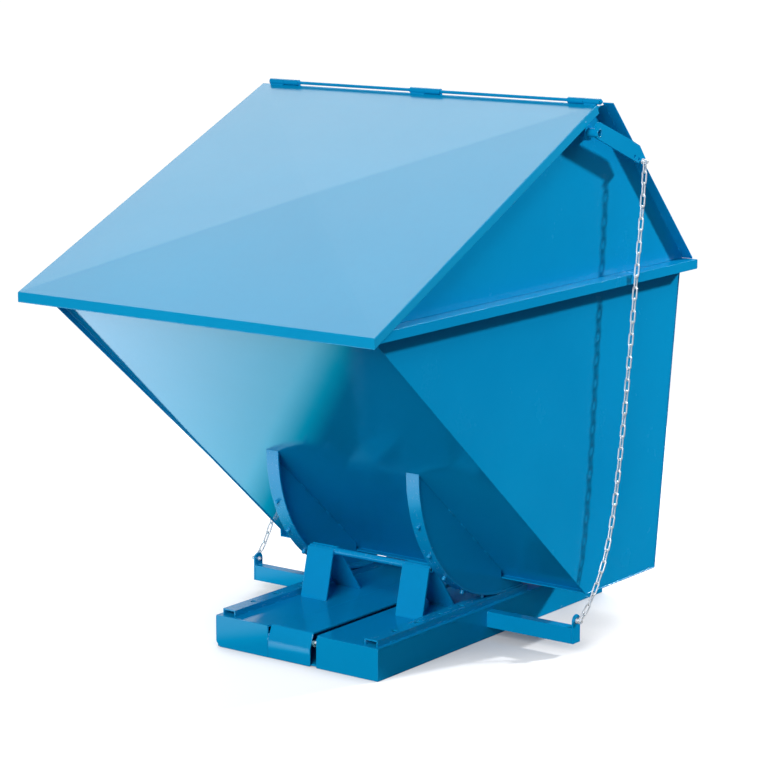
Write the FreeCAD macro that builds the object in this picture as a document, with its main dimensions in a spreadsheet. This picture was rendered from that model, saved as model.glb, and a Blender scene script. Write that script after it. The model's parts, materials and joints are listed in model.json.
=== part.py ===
import FreeCAD, Part
import math
import os
import Sketcher
from FreeCAD import Vector, Placement, Rotation

# Self dumping hopper: a sheet-steel hopper with a two-wing roof on a flat
# base with two fork pockets. Two curved rockers under the hopper roll on two
# perforated rails; studs on the rockers drop into the rail holes.
# X = width (right +), Y = depth (front, dumping side, = -Y), Z = up, mm.
# The numbers below are measured from a working datum; every piece is then
# moved by origin_shift along Y, so that the origin is under the middle.

os.makedirs("parts", exist_ok=True)
doc = FreeCAD.newDocument("SelfDumpingHopper")
sheet = doc.addObject("Spreadsheet::Sheet", "Dims")

DIMS = [
    ("origin_shift", 46), ("wall_half", 600), ("sheet_thk", 4), ("wall_front_y", -838.5),
    ("wall_front_z", 1112), ("bend_y", 250), ("bottom_z", 165), ("bottom_rear_y", 654),
    ("rim_top", 1142), ("rim_low", 1112), ("rim_half", 650.5), ("rim_thk", 3),
    ("rim_front_y", -870), ("rim_rear_y", 797), ("rear_slope", 0.1273),
    ("floor_y", 263.1), ("floor_z", 180.1), ("floor_dy", 0.7544), ("floor_dz", 0.6564),
    ("base_half", 310), ("base_front", -427), ("base_rear", 811), ("base_top", 100),
    ("base_thk", 6), ("channel_half", 79), ("slot_left", 52), ("mid_left", -107),
    ("rail_in", 248), ("rail_out", 296), ("rail_top", 119), ("rail_front", -410),
    ("rail_rear", 383), ("rail_thk", 4), ("rail_hole", 18), ("hole_pitch", 115),
    ("hole_first", 167), ("hole_x", 272), ("rock_y", 262), ("rock_z", 581),
    ("rock_r", 461.7), ("strip_in", 245), ("strip_out", 292), ("strip_thk", 6),
    ("strip_rear", 363), ("web_in", 282), ("web_out", 288), ("stud_dia", 12),
    ("stud_len", 12), ("stand_in", 134), ("stand_out", 235), ("bar_y", -50), ("bar_z", 250),
    ("bar_dia", 22), ("bar_bore", 16), ("arm_front", 140), ("arm_rear", 175),
    ("arm_low", 36), ("arm_high", 86), ("arm_end", 620), ("ear_thk", 6), ("eye_y", 160),
    ("eye_z", 106), ("eye_dia", 7), ("shaft_y", 197), ("shaft_z", 1588), ("shaft_dia", 28),
    ("shaft_bore", 20), ("shaft_half", 652), ("lever_thk", 6), ("tip_y", 441),
    ("tip_z", 1483), ("ridge_y", 217), ("ridge_z", 1678), ("ridge_dia", 10),
    ("knuckle_dia", 18), ("knuckle_bore", 10.2), ("lid_half_front", 655),
    ("lid_half_rear", 634), ("lid_front_y", -903), ("lid_front_z", 1131),
    ("lid_rear_y", 218.9), ("lid_rear_z", 1669.12), ("lid_thk", 2.5), ("lid_flange", 30),
    ("lid_crown", 14), ("flange_out", 633), ("flange_thk", 4), ("flange_top_y", 312),
    ("flange_top_z", 1667.5), ("flange_low_y", 796), ("flange_low_z", 1147.6),
    ("rearlid_half", 625), ("rearlid_thk", 3), ("hinge2_y", 338.4), ("hinge2_z", 1634.7),
    ("hinge2_dia", 6), ("latch_y", 604), ("latch_z", 30), ("latch_pin", 16),
    ("rod_x", 67), ("rod_z", 72), ("rod_dia", 12), ("keeper_y", 583), ("keeper_z", 136),
    ("keeper_dia", 14), ("link_pitch", 35), ("link_wire", 4.8), ("link_width", 8.4),
    ("link_count", 41),
]
for row, (alias, number) in enumerate(DIMS, 1):
    sheet.set("A%d" % row, "'" + alias)
    sheet.set("B%d" % row, "%g" % number)
    sheet.setAlias("B%d" % row, alias)
doc.recompute()


class Dim(object):
    """A number with the spreadsheet expression that gives it."""

    def __init__(self, value, text, fixed=False):
        self.value, self.text, self.fixed = float(value), text, fixed

    def _join(self, other, sign, value):
        return Dim(value, "(%s %s %s)" % (self.text, sign, other.text),
                   self.fixed and other.fixed)

    def __add__(self, other):
        other = dim(other)
        return self._join(other, "+", self.value + other.value)

    def __sub__(self, other):
        other = dim(other)
        return self._join(other, "-", self.value - other.value)

    def __mul__(self, other):
        other = dim(other)
        return self._join(other, "*", self.value * other.value)

    def __truediv__(self, other):
        other = dim(other)
        return self._join(other, "/", self.value / other.value)

    def __radd__(self, other):
        return dim(other) + self

    def __rsub__(self, other):
        return dim(other) - self

    def __rmul__(self, other):
        return dim(other) * self

    def __neg__(self):
        return dim(-1) * self


def dim(value):
    if isinstance(value, Dim):
        return value
    return Dim(value, "(%.9g)" % value, True)


class Sheet(object):
    """D.alias is the sheet cell of that name."""

    def __getattr__(self, alias):
        return Dim(float(sheet.get(alias)), "Dims." + alias)


D = Sheet()


def v(alias):
    return float(sheet.get(alias))


def bind(obj, prop, value):
    value = dim(value)
    if not value.fixed:
        obj.setExpression(prop, value.text)


class Loose(Dim):
    """A coordinate that only starts here: other constraints settle it."""

    def __init__(self, value):
        Dim.__init__(self, value, "(%.9g)" % value, True)


NODES = []


def register(obj, label):
    obj.Label = label
    NODES.append(obj)
    obj.Placement = Placement(Vector(0, v("origin_shift"), 0), Rotation())
    obj.setExpression("Placement.Base.y", "Dims.origin_shift")
    return obj


def new_body(label):
    body = doc.addObject("PartDesign::Body", label)
    body.AllowCompound = True
    return register(body, label)


def new_sketch(body, role, offset):
    sketch = body.newObject("Sketcher::SketchObject", body.Name + "_sketch")
    plane = [f for f in body.Origin.OriginFeatures if f.Role == role][0]
    sketch.AttachmentSupport = [(plane, "")]
    sketch.MapMode = "FlatFace"
    offset = dim(offset)
    sketch.AttachmentOffset = Placement(Vector(0, 0, offset.value), Rotation())
    bind(sketch, "AttachmentOffset.Base.z", offset)
    return sketch


def pin(sketch, geo, pos, x, y):
    """Fixes a point to its two sheet-driven coordinates; None leaves one free."""
    for kind, axis, value in (("DistanceX", -2, x), ("DistanceY", -1, y)):
        if value is None or isinstance(value, Loose):
            continue
        value = dim(value)
        if value.fixed and abs(value.value) < 1e-9:
            sketch.addConstraint(Sketcher.Constraint("PointOnObject", geo, pos, axis))
            continue
        number = sketch.addConstraint(
            Sketcher.Constraint(kind, -1, 1, geo, pos, value.value))
        if not value.fixed:
            sketch.setExpression("Constraints[%d]" % number, value.text)


def outline(sketch, points):
    """A closed outline. A point is (x, y) or (x, y, radius, (mx, my)): then an
    arc of that radius runs from it through (mx, my) to the next point; a fifth
    item (cx, cy) fixes the arc's centre."""
    count, first = len(points), sketch.GeometryCount
    at = [Vector(dim(p[0]).value, dim(p[1]).value, 0) for p in points]
    shapes = []
    for i, p in enumerate(points):
        a, b = at[i], at[(i + 1) % count]
        if len(p) > 2:
            m = Vector(p[3][0], p[3][1], 0)
            left = (m - a).cross(b - m).z > 0      # sketch arcs run counter-clockwise
            shapes.append(Part.Arc(a, m, b) if left else Part.Arc(b, m, a))
        else:
            shapes.append(Part.LineSegment(a, b))
    sketch.addGeometry(shapes, False)

    def end_at(geo, point):
        g = sketch.Geometry[geo]
        near = (g.StartPoint - point).Length < (g.EndPoint - point).Length
        return 1 if near else 2

    for i, p in enumerate(points):
        here, before = first + i, first + (i - 1) % count
        pos = end_at(here, at[i])
        sketch.addConstraint(Sketcher.Constraint(
            "Coincident", here, pos, before, end_at(before, at[i])))
        pin(sketch, here, pos, p[0], p[1])
        if len(p) > 4:
            pin(sketch, here, 3, p[4][0], p[4][1])
        if len(p) > 2 and p[2] is not None:
            radius = dim(p[2])
            number = sketch.addConstraint(
                Sketcher.Constraint("Radius", here, radius.value))
            if not radius.fixed:
                sketch.setExpression("Constraints[%d]" % number, radius.text)


def ring(sketch, x, y, dia):
    x, y, dia = dim(x), dim(y), dim(dia)
    geo = sketch.addGeometry(
        Part.Circle(Vector(x.value, y.value, 0), Vector(0, 0, 1), dia.value / 2), False)
    pin(sketch, geo, 3, x, y)
    number = sketch.addConstraint(Sketcher.Constraint("Diameter", geo, dia.value))
    if not dia.fixed:
        sketch.setExpression("Constraints[%d]" % number, dia.text)


def pad(body, role, offset, length, outlines=(), rings=()):
    sketch = new_sketch(body, role, offset)
    for points in outlines:
        outline(sketch, points)
    for x, y, dia in rings:
        ring(sketch, x, y, dia)
    feature = body.newObject("PartDesign::Pad", body.Name + "_pad")
    feature.Profile = sketch
    length = dim(length)
    feature.Length = length.value
    bind(feature, "Length", length)
    return feature


def pocket(body, role, offset, depth, outlines=(), rings=()):
    sketch = new_sketch(body, role, offset)
    for points in outlines:
        outline(sketch, points)
    for x, y, dia in rings:
        ring(sketch, x, y, dia)
    doc.recompute()
    before = body.Shape.Volume
    feature = body.newObject("PartDesign::Pocket", body.Name + "_pocket")
    feature.Profile = sketch
    feature.Length = dim(depth).value
    bind(feature, "Length", depth)
    doc.recompute()
    if not body.Shape.Volume < before - 1.0:
        raise RuntimeError("pocket cut nothing: " + body.Label)
    return feature


YZ, XY, XZ = "YZ_Plane", "XY_Plane", "XZ_Plane"


def rect(x0, x1, y0, y1):
    return [(x0, y0), (x1, y0), (x1, y1), (x0, y1)]


def block(label, x0, x1, y0, y1, z0, z1):
    """A plate or bar along the axes: an XY rectangle padded upwards."""
    body = new_body(label)
    pad(body, XY, z0, dim(z1) - z0, [rect(x0, x1, y0, y1)])
    return body


def across(label, x0, x1, outlines=(), rings=()):
    """A YZ outline padded across the width from x0 to x1."""
    body = new_body(label)
    pad(body, YZ, x0, dim(x1) - x0, outlines, rings)
    return body


def sided(side, near, far):
    """Two X values, ascending, for the right (+1) or left (-1) side."""
    near, far = dim(near), dim(far)
    return (near, far) if side > 0 else (-far, -near)


def feature(label, shape):
    obj = doc.addObject("Part::Feature", label)
    obj.Shape = shape
    return register(obj, label)


def hexa(bottom, top):
    """A solid from two four-sided loops of points in the same order."""
    quads = [bottom[::-1], top]
    for i in range(4):
        j = (i + 1) % 4
        quads.append([bottom[i], bottom[j], top[j], top[i]])
    faces = []
    for q in quads:
        faces.append(Part.Face(Part.makePolygon([Vector(*p) for p in q + [q[0]]])))
    solid = Part.makeSolid(Part.makeShell(faces))
    if solid.Volume < 0:
        solid.reverse()
    return solid


SIDES = ((1, "right"), (-1, "left"))

# ------------------------------------------------------------------ base
inner_z0, inner_z1 = D.base_thk, D.base_top - D.base_thk
inside_y = D.base_front + D.base_thk
for side, name in SIDES:
    # a folded trough: floor and two upright walls, closed above by the deck
    body = new_body("pocket_shell_" + name)
    a, b = sided(side, D.channel_half, D.base_half)
    pad(body, XY, 0, D.base_thk, [rect(a, b, inside_y, D.base_rear)])
    for near, far, front in ((D.base_half - D.base_thk, D.base_half, inside_y),
                             (D.channel_half, D.channel_half + D.base_thk, inside_y + 21)):
        a, b = sided(side, near, far)
        pad(body, XY, inner_z0, inner_z1 - inner_z0, [rect(a, b, front, D.base_rear)])

body = new_body("deck_right")
pad(body, XY, inner_z1, D.base_thk,
    [rect(D.channel_half, D.base_half, inside_y, D.base_rear)])
body = new_body("deck_left")
pad(body, XY, inner_z1, D.base_thk, [[
    (-D.base_half, inside_y), (D.mid_left, inside_y), (D.mid_left, inside_y + 21),
    (-D.channel_half, inside_y + 21), (-D.channel_half, D.base_rear),
    (-D.base_half, D.base_rear)]])

front_l = new_body("front_plate_left")
pad(front_l, XZ, -D.base_front - D.base_thk, D.base_thk, [[
    (-D.base_half + 14, 0), (D.mid_left, 0), (D.mid_left, D.base_top),
    (-D.base_half, D.base_top), (-D.base_half, 14)]])
front_r = new_body("front_plate_right")
pad(front_r, XZ, -D.base_front - D.base_thk, D.base_thk, [[
    (D.channel_half, 0), (D.base_half, 0), (D.base_half, D.base_top),
    (D.channel_half + 16, D.base_top, 16, (v("channel_half") + 4.69, v("base_top") - 4.69)),
    (D.channel_half, D.base_top - 16)]])
# the middle plate is upright below and leans back above
f = D.base_front
across("front_plate_middle", D.mid_left, D.slot_left + 3, [[
    (f, 0), (f, 55), (f + 18, D.base_top), (f + 23.4, D.base_top), (f + 23.4, 97.5),
    (f + 6, 54), (f + 6, 0)]])

block("channel_floor", -D.channel_half, D.channel_half, inside_y + 5, D.base_rear,
      0, D.base_thk)
block("channel_cover", -D.channel_half, D.slot_left, f + 24, D.base_rear,
      inner_z1, D.base_top)

for side, name in SIDES:
    body = new_body("rail_" + name)
    a, b = sided(side, D.rail_in, D.rail_out)
    pad(body, XZ, -D.rail_rear, D.rail_rear - D.rail_front, [[
        (a, D.base_top), (a + D.rail_thk, D.base_top),
        (a + D.rail_thk, D.rail_top - D.rail_thk), (b - D.rail_thk, D.rail_top - D.rail_thk),
        (b - D.rail_thk, D.base_top), (b, D.base_top), (b, D.rail_top), (a, D.rail_top)]])
    pocket(body, XY, D.rail_top + 1, D.rail_thk + 3, rings=[
        (side * D.hole_x, D.hole_first - k * D.hole_pitch, D.rail_hole) for k in range(5)])


def leg_points(foot_y, plate, front):
    """A leg plate from the deck to the cross bar, its outer face tangent to a
    circle one plate thickness outside the bar."""
    cy, cz, z0 = v("bar_y"), v("bar_z"), v("base_top")
    r = v("bar_dia") / 2 + 0.05 + plate
    dy, dz = cy - foot_y, cz - z0
    dist = math.hypot(dy, dz)
    aim = math.atan2(dz, dy) + (1 if front else -1) * math.asin(r / dist)
    uy, uz = math.cos(aim), math.sin(aim)
    ny, nz = (uz, -uy) if front else (-uz, uy)      # towards the bar side
    run = dist * math.cos(math.asin(r / dist)) + 3.0
    oy, oz = foot_y + uy * run, z0 + uz * run
    iy, iz = oy + ny * plate, oz + nz * plate
    back = foot_y + (plate / uz if front else -plate / uz)
    return [(foot_y, z0), (oy, oz), (iy, iz), (back, z0)]


for side, name in SIDES:
    a, b = sided(side, D.stand_in, D.stand_out)
    across("stop_stand_" + name, a, b, [leg_points(-104.0, 6.0, True),
                                        leg_points(80.0, 6.0, False)])
across("stop_crossbar", -D.stand_out, D.stand_out,
       rings=[(D.bar_y, D.bar_z, D.bar_dia), (D.bar_y, D.bar_z, D.bar_bore)])

for side, name in SIDES:
    a, b = sided(side, D.base_half, D.arm_end)
    w = D.rail_thk
    across("outrigger_arm_" + name, a, b, [
        rect(D.arm_front, D.arm_rear, D.arm_low, D.arm_high),
        rect(D.arm_front + w, D.arm_rear - w, D.arm_low + w, D.arm_high - w)])
ears = new_body("outrigger_ears")
for side, name in SIDES:
    a, b = sided(side, D.arm_end, D.arm_end + D.ear_thk)
    r = 20.0
    ey, ez = v("eye_y"), v("eye_z")
    pad(ears, YZ, a, b - a, [[
        (D.eye_y - r, D.arm_low), (D.eye_y + r, D.arm_low),
        (D.eye_y + r, D.eye_z, None, (ey, ez + r), (None, D.eye_z)), (D.eye_y - r, D.eye_z)]],
        rings=[(D.eye_y, D.eye_z, D.eye_dia)])


def bolt(y, z, x_in, x_out, side, dia, nut, grip):
    """A hexagon bolt along X: shank, head outside, nut just inside."""
    shank = Part.makeCylinder(dia / 2.0, x_out - x_in, Vector(side * x_in, y, z),
                              Vector(side, 0, 0))

    def hexagon(x, width, thick):
        r = width / math.sqrt(3.0)
        pts = [Vector(side * x, y + r * math.cos(math.radians(60 * k)),
                      z + r * math.sin(math.radians(60 * k))) for k in range(7)]
        return Part.Face(Part.makePolygon(pts)).extrude(Vector(side * thick, 0, 0))

    out = shank.fuse(hexagon(x_out, nut, 4.5)).fuse(hexagon(grip, nut, 5.0))
    return out.removeSplitter()


feature("chain_bolts_lower", Part.makeCompound([
    bolt(v("eye_y"), v("eye_z"), 611.0, 640.0, s, v("eye_dia") - 0.4, 12.0, 614.9)
    for s in (1, -1)]))

# latch: hook on a pivot in the channel, pushed open by the release rod
s_in, s_out = D.slot_left + 10, D.slot_left + 20
tilt = math.radians(12.0)


def hook_point(y, z):
    """A point of the engaged hook, tilted back about the pivot to rest."""
    ry, rz = y - v("latch_y"), z - v("latch_z")
    return (v("latch_y") + ry * math.cos(tilt) + rz * math.sin(tilt),
            v("latch_z") + rz * math.cos(tilt) - ry * math.sin(tilt))


across("latch_hook", s_in, s_out, [[hook_point(*p) for p in (
    (592, 16), (616, 16), (616, 151), (610, 157), (582, 157), (577, 152), (577, 144.5),
    (592, 144.5))]], rings=[(D.latch_y, D.latch_z, D.latch_pin + 0.2)])
across("latch_pivot_pin", D.slot_left - 2, D.channel_half,
       rings=[(D.latch_y, D.latch_z, D.latch_pin)])
across("latch_lug", D.slot_left - 2, D.slot_left + 4, [
    rect(D.latch_y - 22, D.latch_y + 22, D.base_thk, D.latch_z + 22)],
    rings=[(D.latch_y, D.latch_z, D.latch_pin + 0.3)])
tip_edge = min(hook_point(592, z)[0] for z in (66, 78)) - 0.6
rod = new_body("release_rod")
pad(rod, XZ, -tip_edge, tip_edge - dim(f) - 3, rings=[(D.rod_x, D.rod_z, D.rod_dia)])
pad(rod, XZ, -dim(f) - 15, 8, rings=[(D.rod_x, D.rod_z, 20)])
guides = new_body("rod_guides")
for gy in (-300.0, 250.0):
    pad(guides, XZ, -gy, 6, [rect(D.slot_left + 2, D.channel_half, 58, 86)],
        rings=[(D.rod_x, D.rod_z, D.rod_dia + 0.3)])

# ---------------------------------------------------------------- hopper
half, ts = D.wall_half, D.sheet_thk


def floor_line(y, inset=0.0):
    """Height of the slanted floor's outer face, or of a line inset from it."""
    return (v("floor_z") + (v("floor_y") - y) * v("floor_dz") / v("floor_dy")
            + inset / v("floor_dy"))


def floor_y_at(z, inset=0.0):
    return v("floor_y") - (z - inset / v("floor_dy") - v("floor_z")) * (
        v("floor_dy") / v("floor_dz"))


thk = v("sheet_thk")
across("hopper_floor", -half + ts, half - ts, [[
    (D.bend_y, D.bottom_z), (D.bottom_rear_y - 5, D.bottom_z),
    (D.bottom_rear_y - 5, D.bottom_z + ts), (floor_y_at(169.0, thk), D.bottom_z + ts),
    (floor_y_at(1139.0, thk), 1139.0), (floor_y_at(1139.0), 1139.0),
    (floor_y_at(169.0), D.bottom_z + ts), (D.bend_y, D.bottom_z + ts)]])
rear_top = D.bottom_rear_y + (D.rim_top - D.rim_thk - D.bottom_z) * D.rear_slope
rear_low = D.bottom_rear_y
across("rear_wall", -half + ts, half - ts, [[
    (rear_low - ts, D.bottom_z), (rear_low, D.bottom_z),
    (rear_top, D.rim_top - D.rim_thk), (rear_top - ts, D.rim_top - D.rim_thk)]])
for side, name in SIDES:
    a, b = sided(side, half - ts, half)
    # the right wall stands proud of the slanted floor; the left one only above
    edge = [] if side > 0 else [(-100, floor_line(-100, -2)), (248, floor_line(248, -2))]
    across("side_wall_" + name, a, b, [[
        (D.bend_y, D.bottom_z), (D.bottom_rear_y, D.bottom_z),
        (rear_top, D.rim_top - D.rim_thk), (D.rim_front_y + 4, D.rim_top - D.rim_thk),
        (D.wall_front_y, D.wall_front_z)] + edge])

    # rim: a flat flange with a turned-down lip, the rear corner cut off
    body = new_body("rim_" + name)
    x0, x1 = sided(side, half, D.rim_half)
    near, far = (x0, x1) if side > 0 else (x1, x0)
    top, low, rt = D.rim_top, D.rim_low, D.rim_thk
    pad(body, XY, top - rt, rt, [[
        (near, D.rim_front_y + rt), (far, D.rim_front_y + rt), (far, D.rim_rear_y),
        (near, D.rim_rear_y)]])
    l0, l1 = sided(side, D.rim_half - rt, D.rim_half)
    pad(body, XY, low, top - low - rt, [
        rect(l0, l1, D.rim_front_y + rt, D.rim_rear_y - rt)])

body = new_body("rim_front")
pad(body, XY, D.rim_top - D.rim_thk, D.rim_thk, [
    rect(-half, half, D.rim_front_y + D.rim_thk, floor_y_at(1139.0, thk))])
pad(body, XY, D.rim_low, D.rim_top - D.rim_low, [
    rect(-D.rim_half, D.rim_half, D.rim_front_y, D.rim_front_y + D.rim_thk)])
body = new_body("rim_rear")
pad(body, XY, D.rim_top - D.rim_thk, D.rim_thk, [
    rect(-half, half, rear_top - ts, D.rim_rear_y)])
pad(body, XY, D.rim_low, D.rim_top - D.rim_low - D.rim_thk, [
    rect(-D.rim_half, D.rim_half, D.rim_rear_y - D.rim_thk, D.rim_rear_y)])

lid_rise = (v("lid_rear_z") - v("lid_front_z")) / (v("lid_rear_y") - v("lid_front_y"))


def lid_top(y):
    return v("lid_front_z") + (y - v("lid_front_y")) * lid_rise


slope2 = (v("flange_low_z") - v("flange_top_z")) / (v("flange_low_y") - v("flange_top_y"))


def flange_z(y):
    return v("flange_top_z") + (y - v("flange_top_y")) * slope2


drop = v("flange_thk") / math.cos(math.atan(slope2))
for side, name in SIDES:
    a, b = sided(side, half - ts, half)
    body = across("gable_" + name, a, b, [[
        (-855, D.rim_top), (-850, lid_top(-850) - 10), (205, lid_top(205) - 10),
        (232, 1659), (310, 1659), (316, flange_z(316) - 3),
        (788, flange_z(788) - 3), (788, D.rim_top)]],
        rings=[(D.shaft_y, D.shaft_z, D.shaft_dia + 2)])
    a, b = sided(side, half - ts, D.flange_out)
    pad(body, YZ, a, b - a, [[
        (309.07, 1664.78), (795.5, D.rim_top + 0.3),
        (D.flange_low_y, D.flange_low_z), (D.flange_top_y, D.flange_top_z)]])

bosses = new_body("shaft_bosses")
for side, name in SIDES:
    a, b = sided(side, half, half + 21)
    pad(bosses, YZ, a, b - a, rings=[
        (D.shaft_y, D.shaft_z, 48), (D.shaft_y, D.shaft_z, D.shaft_dia + 0.2)])

# rockers
cy, cz = v("rock_y"), v("rock_z")


def on_floor(radius, inset):
    """Where a rocker circle meets the slanted floor's outer face (front end)."""
    uy, uz = -v("floor_dy"), v("floor_dz")
    py, pz = v("floor_y") - cy, v("floor_z") + inset / v("floor_dy") - cz
    dot = py * uy + pz * uz
    root = math.sqrt(dot * dot - (py * py + pz * pz - radius * radius))
    far = -dot + root
    return cy + py + uy * far, cz + pz + uz * far


r_out, r_in = v("rock_r"), v("rock_r") - v("strip_thk")
out_top, in_top = on_floor(r_out, -0.2), on_floor(r_in, -0.2)
mid = math.radians(225)
for side, name in SIDES:
    a, b = sided(side, D.strip_in, D.strip_out)
    across("rocker_strip_" + name, a, b, [[
        (Loose(out_top[0]), out_top[1], D.rock_r,
         (cy + r_out * math.cos(mid), cz + r_out * math.sin(mid)), (D.rock_y, D.rock_z)),
        (D.rock_y, Loose(cz - r_out)), (D.strip_rear, D.rock_z - D.rock_r),
        (D.strip_rear, D.rock_z - D.rock_r + D.strip_thk),
        (D.rock_y, Loose(cz - r_in), D.rock_r - D.strip_thk,
         (cy + r_in * math.cos(mid), cz + r_in * math.sin(mid)), (D.rock_y, D.rock_z)),
        (Loose(in_top[0]), in_top[1])]])
    a, b = sided(side, D.web_in, D.web_out)
    rw = r_in - 0.25
    w_top = on_floor(rw, -0.2)
    across("rocker_web_" + name, a, b, [[
        (Loose(w_top[0]), w_top[1], D.rock_r - D.strip_thk - 0.25,
         (cy + rw * math.cos(mid), cz + rw * math.sin(mid)), (D.rock_y, D.rock_z)),
        (D.rock_y, Loose(cz - rw)), (D.strip_rear, D.rock_z - D.rock_r + D.strip_thk + 0.25), (D.strip_rear, D.bottom_z),
        (D.bend_y - 1, D.bottom_z), (D.bend_y - 1, floor_line(v("bend_y") - 1, -0.2))]])

pitch = v("hole_pitch") / v("rock_r")
first = (v("rock_y") - v("hole_first")) / v("rock_r")
studs = []
for side in (1, -1):
    for k in range(5):
        turn = first + pitch * k
        way = Vector(0, -math.sin(turn), -math.cos(turn))
        foot = Vector(side * v("hole_x"), cy, cz) + way * v("rock_r")
        r, tall = v("stud_dia") / 2, v("stud_len")
        stud = Part.makeCylinder(r, tall - 2, foot, way).fuse(
            Part.makeCone(r, r - 1.5, 2, foot + way * (tall - 2), way))
        studs.append(stud.removeSplitter())
feature("rocker_studs", Part.makeCompound(studs))

body = new_body("latch_keeper")
k0, k1 = D.slot_left - 2, D.slot_left + 32
pad(body, YZ, k0, 8, [rect(D.keeper_y - 13, D.keeper_y + 13, D.keeper_z - 12, D.bottom_z)])
pad(body, YZ, k1 - 8, 8, [rect(D.keeper_y - 13, D.keeper_y + 13, D.keeper_z - 12, D.bottom_z)])
pad(body, YZ, k0 + 8, k1 - k0 - 16, rings=[(D.keeper_y, D.keeper_z, D.keeper_dia)])

# ridge beam: a folded sheet that closes the roof between the two wings, with
# the three fixed hinge tubes on webs in front and the rear hinge behind
across("ridge_beam", -half + ts, half - ts, [[
    (223, 1604), (227, 1604), (227, 1651.2), (318, 1634.5), (318, 1622), (322, 1622),
    (322, 1637.8), (223, 1656)]])


def tube_x(x0, x1, y, z, outer, bore):
    tube = Part.makeCylinder(outer / 2.0, x1 - x0, Vector(x0, y, z), Vector(1, 0, 0))
    return tube.cut(Part.makeCylinder(bore / 2.0, x1 - x0 + 2, Vector(x0 - 1, y, z),
                                      Vector(1, 0, 0)))


hy, hz = v("ridge_y"), v("ridge_z")
kd, kb = v("knuckle_dia"), v("knuckle_bore")
fixed, moving = [], []
for x0, x1 in ((-543, -484), (13, 70), (534, 589.6)):
    web = Part.Face(Part.makePolygon([
        Vector(x0 + 2, y, z) for y, z in (
            (hy + 6, 1656.1), (hy + 12, 1655.0), (hy + 12, 1660), (hy + 9, 1677),
            (hy + 6, 1677), (hy + 6, 1656.1))])).extrude(Vector(x1 - x0 - 4, 0, 0))
    solid = tube_x(x0 + 0.3, x1 - 0.3, hy, hz, kd, kb)
    cut = Part.makeCylinder(kb / 2, x1 - x0, Vector(x0, hy, hz), Vector(1, 0, 0))
    fixed.append(solid.fuse(web).cut(cut).removeSplitter())
feature("ridge_knuckles", Part.makeCompound(fixed))
across("ridge_rod", -600, 652, rings=[(D.ridge_y, D.ridge_z, D.ridge_dia)])

# rear wing of the roof, with a second hinge rod behind the ridge beam
h2y, h2z, h2d = v("hinge2_y"), v("hinge2_z"), v("hinge2_dia")
across("rear_hinge_rod", -560, 560, rings=[(D.hinge2_y, D.hinge2_z, D.hinge2_dia)])
still = []
for x0, x1 in ((-560, -510), (-25, 25), (510, 560)):
    leaf = Part.makeBox(x1 - x0, h2y - 3 - 322.05, 7.5, Vector(x0, 322.05, 1629.5))
    solid = tube_x(x0, x1, h2y, h2z, 12, h2d + 0.2)
    bore = Part.makeCylinder((h2d + 0.2) / 2, x1 - x0, Vector(x0, h2y, h2z), Vector(1, 0, 0))
    still.append(solid.fuse(leaf).cut(bore).removeSplitter())
feature("rear_hinge_bearings", Part.makeCompound(still))

ang2 = math.atan(slope2)


def slope_point(along, up):
    """A point of the rear slope: along it from the hinge, up off the flange."""
    y0 = v("flange_top_y")
    z0 = v("flange_top_z")
    return (y0 + along * math.cos(ang2) - up * math.sin(ang2),
            z0 + along * math.sin(ang2) + up * math.cos(ang2))


t3 = v("rearlid_thk")
body = across("rear_lid", -D.rearlid_half, D.rearlid_half, [[
    slope_point(50, 1.5), slope_point(700, 1.5), slope_point(700, 1.5 + t3),
    slope_point(50, 1.5 + t3)]])
for x0 in (-590, 587):
    pad(body, YZ, x0, 3, [[
        slope_point(66, -20), slope_point(686, -20), slope_point(686, 2), slope_point(66, 2)]])
rear_knuckles = []
for x0, x1 in ((-508, -458), (-77, -27), (27, 77), (458, 508)):
    solid = tube_x(x0, x1, h2y, h2z, 12, h2d + 0.2)
    turn = [slope_point(*p) for p in (
        (104, 4.7), (104, 8.2), (48, 8.2), (40, 2.4), (46, -4.5), (48.5, 4.7), (104, 4.7))]
    leaf = Part.Face(Part.makePolygon([Vector(x0, p[0], p[1]) for p in turn])).extrude(
        Vector(x1 - x0, 0, 0))
    bore = Part.makeCylinder((h2d + 0.2) / 2, x1 - x0, Vector(x0, h2y, h2z), Vector(1, 0, 0))
    rear_knuckles.append(solid.fuse(leaf).cut(bore).removeSplitter())
feature("rear_lid_knuckles", Part.makeCompound(rear_knuckles))


def bent_rod(points, dia, radius):
    """A round rod along straight runs joined by tangent arcs."""
    path = [Vector(*p) for p in points]
    edges, start = [], path[0]
    for i in range(1, len(path) - 1):
        u = (path[i] - path[i - 1]).normalize()
        w = (path[i + 1] - path[i]).normalize()
        turn = math.acos(max(-1.0, min(1.0, u.dot(w))))
        cut = radius * math.tan(turn / 2)
        a, b = path[i] - u * cut, path[i] + w * cut
        bis = (w - u).normalize()
        centre = path[i] + bis * (radius / math.cos(turn / 2))
        m = centre - bis * radius
        edges += [Part.LineSegment(start, a).toShape(), Part.Arc(a, m, b).toShape()]
        start = b
    edges.append(Part.LineSegment(start, path[-1]).toShape())
    wire = Part.Wire(edges)
    profile = Part.Wire([Part.makeCircle(dia / 2.0, path[0], path[1] - path[0])])
    return wire.makePipeShell([profile], True, True)


foot_a, up_a = slope_point(640, 4.6), slope_point(640, 46)
feature("rear_lid_handle", bent_rod([
    (-110, foot_a[0], foot_a[1]), (-110, up_a[0], up_a[1]), (110, up_a[0], up_a[1]),
    (110, foot_a[0], foot_a[1])], 14.0, 18.0))

# ------------------------------------------------------------- front lid
ly0, lz0, ly1, lz1 = (v("lid_front_y"), v("lid_front_z"), v("lid_rear_y"), v("lid_rear_z"))
lf, lr, lt, lh = v("lid_half_front"), v("lid_half_rear"), v("lid_thk"), v("lid_flange")
ang = math.atan2(lz1 - lz0, ly1 - ly0)
ny, nz = -math.sin(ang), math.cos(ang)


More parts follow.
